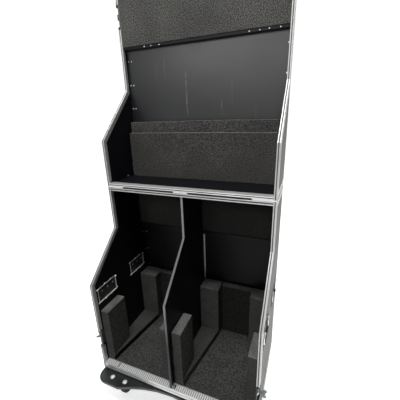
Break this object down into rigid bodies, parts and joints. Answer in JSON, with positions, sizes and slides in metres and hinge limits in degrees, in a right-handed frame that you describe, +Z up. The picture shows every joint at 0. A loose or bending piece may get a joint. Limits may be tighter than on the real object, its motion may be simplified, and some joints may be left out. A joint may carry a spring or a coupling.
{
  "type": "equipment case on castors",
  "caption": "Tall two-module road case without its front covers: stepped slanted sides, foam-lined twin bays below a shallow compartment, recessed handles and a castor board.",
  "frame": {"origin": "centre of the footprint box on the ground under the wheels", "axes": "+Z up, the open front faces -Y, +X to the right seen from the front"},
  "size_m": [0.9066, 0.65, 2.122],
  "materials": {
    "laminate": "black phenolic-faced birch plywood, satin",
    "foam": "charcoal closed-cell foam, matt, finely pitted",
    "lining": "charcoal foam sheet with a flecked face",
    "aluminium": "mill-finish extrusion, satin, lightly scratched",
    "dish_steel": "pressed steel, black passivated",
    "zinc_steel": "bright zinc-plated steel",
    "board_paint": "black film-faced plywood, semi-gloss",
    "grip_rubber": "moulded black rubber sleeve on a steel bail",
    "wheel_rubber": "black elastic rubber tyre"
  },
  "bodies": {
    "lower_case": {"lower_left_side_panel": "laminate", "lower_right_side_panel": "laminate", "lower_back_panel": "laminate", "lower_floor_panel": "laminate", "lower_roof_panel": "laminate", "centre_divider": "laminate", "floor_lining": "lining", "left_bay_left_cheek": "foam", "left_bay_right_cheek": "foam", "right_bay_left_cheek": "foam", "right_bay_right_cheek": "foam", "left_bay_back_pad": "foam", "right_bay_back_pad": "foam", "left_bay_upper_pad": "foam", "right_bay_upper_pad": "foam", "lower_mouth_frame": "aluminium", "lower_edge_frame": "aluminium", "divider_front_cap": "aluminium", "wheelboard": "board_paint", "left_front_handle_dish": "dish_steel", "left_rear_handle_dish": "dish_steel", "lower_left_latch_dish": "dish_steel", "right_front_handle_dish": "dish_steel", "right_rear_handle_dish": "dish_steel", "lower_right_latch_dish": "dish_steel", "front_left_castor_plate": "zinc_steel", "front_right_castor_plate": "zinc_steel", "rear_left_castor_plate": "zinc_steel", "rear_right_castor_plate": "zinc_steel"},
    "upper_case": {"upper_left_side_panel": "laminate", "upper_right_side_panel": "laminate", "upper_back_panel": "laminate", "upper_floor_panel": "laminate", "upper_roof_panel": "laminate", "pad_ledge": "laminate", "upper_wall_pad": "foam", "upper_mouth_frame": "aluminium", "upper_edge_frame": "aluminium", "upper_left_keeper_dish": "dish_steel", "upper_right_keeper_dish": "dish_steel"},
    "front_foam_board": {"front_foam_board": "foam"},
    "rear_foam_board": {"rear_foam_board": "foam"},
    "left_front_handle_grip": {"left_front_handle_grip": "grip_rubber"},
    "left_rear_handle_grip": {"left_rear_handle_grip": "grip_rubber"},
    "lower_left_latch_rotor": {"lower_left_latch_rotor": "zinc_steel"},
    "lower_left_latch_wing": {"lower_left_latch_wing": "zinc_steel"},
    "right_front_handle_grip": {"right_front_handle_grip": "grip_rubber"},
    "right_rear_handle_grip": {"right_rear_handle_grip": "grip_rubber"},
    "lower_right_latch_rotor": {"lower_right_latch_rotor": "zinc_steel"},
    "lower_right_latch_wing": {"lower_right_latch_wing": "zinc_steel"},
    "front_left_castor_fork": {"front_left_castor_fork": "zinc_steel"},
    "front_left_castor_wheel": {"front_left_castor_wheel": "wheel_rubber"},
    "front_left_brake_pedal": {"front_left_brake_pedal": "dish_steel"},
    "front_right_castor_fork": {"front_right_castor_fork": "zinc_steel"},
    "front_right_castor_wheel": {"front_right_castor_wheel": "wheel_rubber"},
    "front_right_brake_pedal": {"front_right_brake_pedal": "dish_steel"},
    "rear_left_castor_fork": {"rear_left_castor_fork": "zinc_steel"},
    "rear_left_castor_wheel": {"rear_left_castor_wheel": "wheel_rubber"},
    "rear_right_castor_fork": {"rear_right_castor_fork": "zinc_steel"},
    "rear_right_castor_wheel": {"rear_right_castor_wheel": "wheel_rubber"}
  },
  "joints": [
    {"name": "upper_case_lift", "type": "slide", "parent": "lower_case", "child": "upper_case", "axis": [0, 0, 1], "range_m": [0, 0.25]},
    {"name": "front_board_lift", "type": "slide", "parent": "upper_case", "child": "front_foam_board", "axis": [0, 0, 1], "range_m": [0, 0.3]},
    {"name": "rear_board_lift", "type": "slide", "parent": "upper_case", "child": "rear_foam_board", "axis": [0, 0, 1], "range_m": [0, 0.3]},
    {"name": "left_front_handle_fold", "type": "hinge", "parent": "lower_case", "child": "left_front_handle_grip", "pos_m": [-0.4266, -0.1535, 0.627], "axis": [0, 1, 0], "range_deg": [0, 90], "stiffness_Nm_per_rad": 0.4, "springref_deg": -20.05},
    {"name": "left_rear_handle_fold", "type": "hinge", "parent": "lower_case", "child": "left_rear_handle_grip", "pos_m": [-0.4266, 0.1185, 0.627], "axis": [0, 1, 0], "range_deg": [0, 90], "stiffness_Nm_per_rad": 0.4, "springref_deg": -20.05},
    {"name": "left_latch_turn", "type": "hinge", "parent": "lower_case", "child": "lower_left_latch_rotor", "pos_m": [-0.4176, -0.2375, 0.349], "axis": [1, 0, 0], "range_deg": [0, 180]},
    {"name": "left_latch_wing_fold", "type": "hinge", "parent": "lower_left_latch_rotor", "child": "lower_left_latch_wing", "pos_m": [-0.4212, -0.2375, 0.349], "axis": [0, -1, 0], "range_deg": [0, 90]},
    {"name": "right_front_handle_fold", "type": "hinge", "parent": "lower_case", "child": "right_front_handle_grip", "pos_m": [0.4266, -0.1535, 0.627], "axis": [0, -1, 0], "range_deg": [0, 90], "stiffness_Nm_per_rad": 0.4, "springref_deg": -20.05},
    {"name": "right_rear_handle_fold", "type": "hinge", "parent": "lower_case", "child": "right_rear_handle_grip", "pos_m": [0.4266, 0.1185, 0.627], "axis": [0, -1, 0], "range_deg": [0, 90], "stiffness_Nm_per_rad": 0.4, "springref_deg": -20.05},
    {"name": "right_latch_turn", "type": "hinge", "parent": "lower_case", "child": "lower_right_latch_rotor", "pos_m": [0.4176, -0.2375, 0.349], "axis": [1, 0, 0], "range_deg": [0, 180]},
    {"name": "right_latch_wing_fold", "type": "hinge", "parent": "lower_right_latch_rotor", "child": "lower_right_latch_wing", "pos_m": [0.4212, -0.2375, 0.349], "axis": [0, 1, 0], "range_deg": [0, 90]},
    {"name": "front_left_castor_swivel", "type": "hinge", "parent": "lower_case", "child": "front_left_castor_fork", "pos_m": [-0.305, -0.257, 0.1244], "axis": [0, 0, 1], "continuous": true},
    {"name": "front_left_castor_spin", "type": "hinge", "parent": "front_left_castor_fork", "child": "front_left_castor_wheel", "pos_m": [-0.305, -0.225, 0.05], "axis": [1, 0, 0], "continuous": true},
    {"name": "front_left_brake_release", "type": "hinge", "parent": "front_left_castor_fork", "child": "front_left_brake_pedal", "pos_m": [-0.305, -0.221, 0.116], "axis": [1, 0, 0], "range_deg": [0, 18]},
    {"name": "front_right_castor_swivel", "type": "hinge", "parent": "lower_case", "child": "front_right_castor_fork", "pos_m": [0.305, -0.257, 0.1244], "axis": [0, 0, 1], "continuous": true},
    {"name": "front_right_castor_spin", "type": "hinge", "parent": "front_right_castor_fork", "child": "front_right_castor_wheel", "pos_m": [0.305, -0.225, 0.05], "axis": [1, 0, 0], "continuous": true},
    {"name": "front_right_brake_release", "type": "hinge", "parent": "front_right_castor_fork", "child": "front_right_brake_pedal", "pos_m": [0.305, -0.221, 0.116], "axis": [1, 0, 0], "range_deg": [0, 18]},
    {"name": "rear_left_castor_swivel", "type": "hinge", "parent": "lower_case", "child": "rear_left_castor_fork", "pos_m": [-0.305, 0.243, 0.1244], "axis": [0, 0, 1], "continuous": true},
    {"name": "rear_left_castor_spin", "type": "hinge", "parent": "rear_left_castor_fork", "child": "rear_left_castor_wheel", "pos_m": [-0.305, 0.275, 0.05], "axis": [1, 0, 0], "continuous": true},
    {"name": "rear_right_castor_swivel", "type": "hinge", "parent": "lower_case", "child": "rear_right_castor_fork", "pos_m": [0.305, 0.243, 0.1244], "axis": [0, 0, 1], "continuous": true},
    {"name": "rear_right_castor_spin", "type": "hinge", "parent": "rear_right_castor_fork", "child": "rear_right_castor_wheel", "pos_m": [0.305, 0.275, 0.05], "axis": [1, 0, 0], "continuous": true}
  ]
}
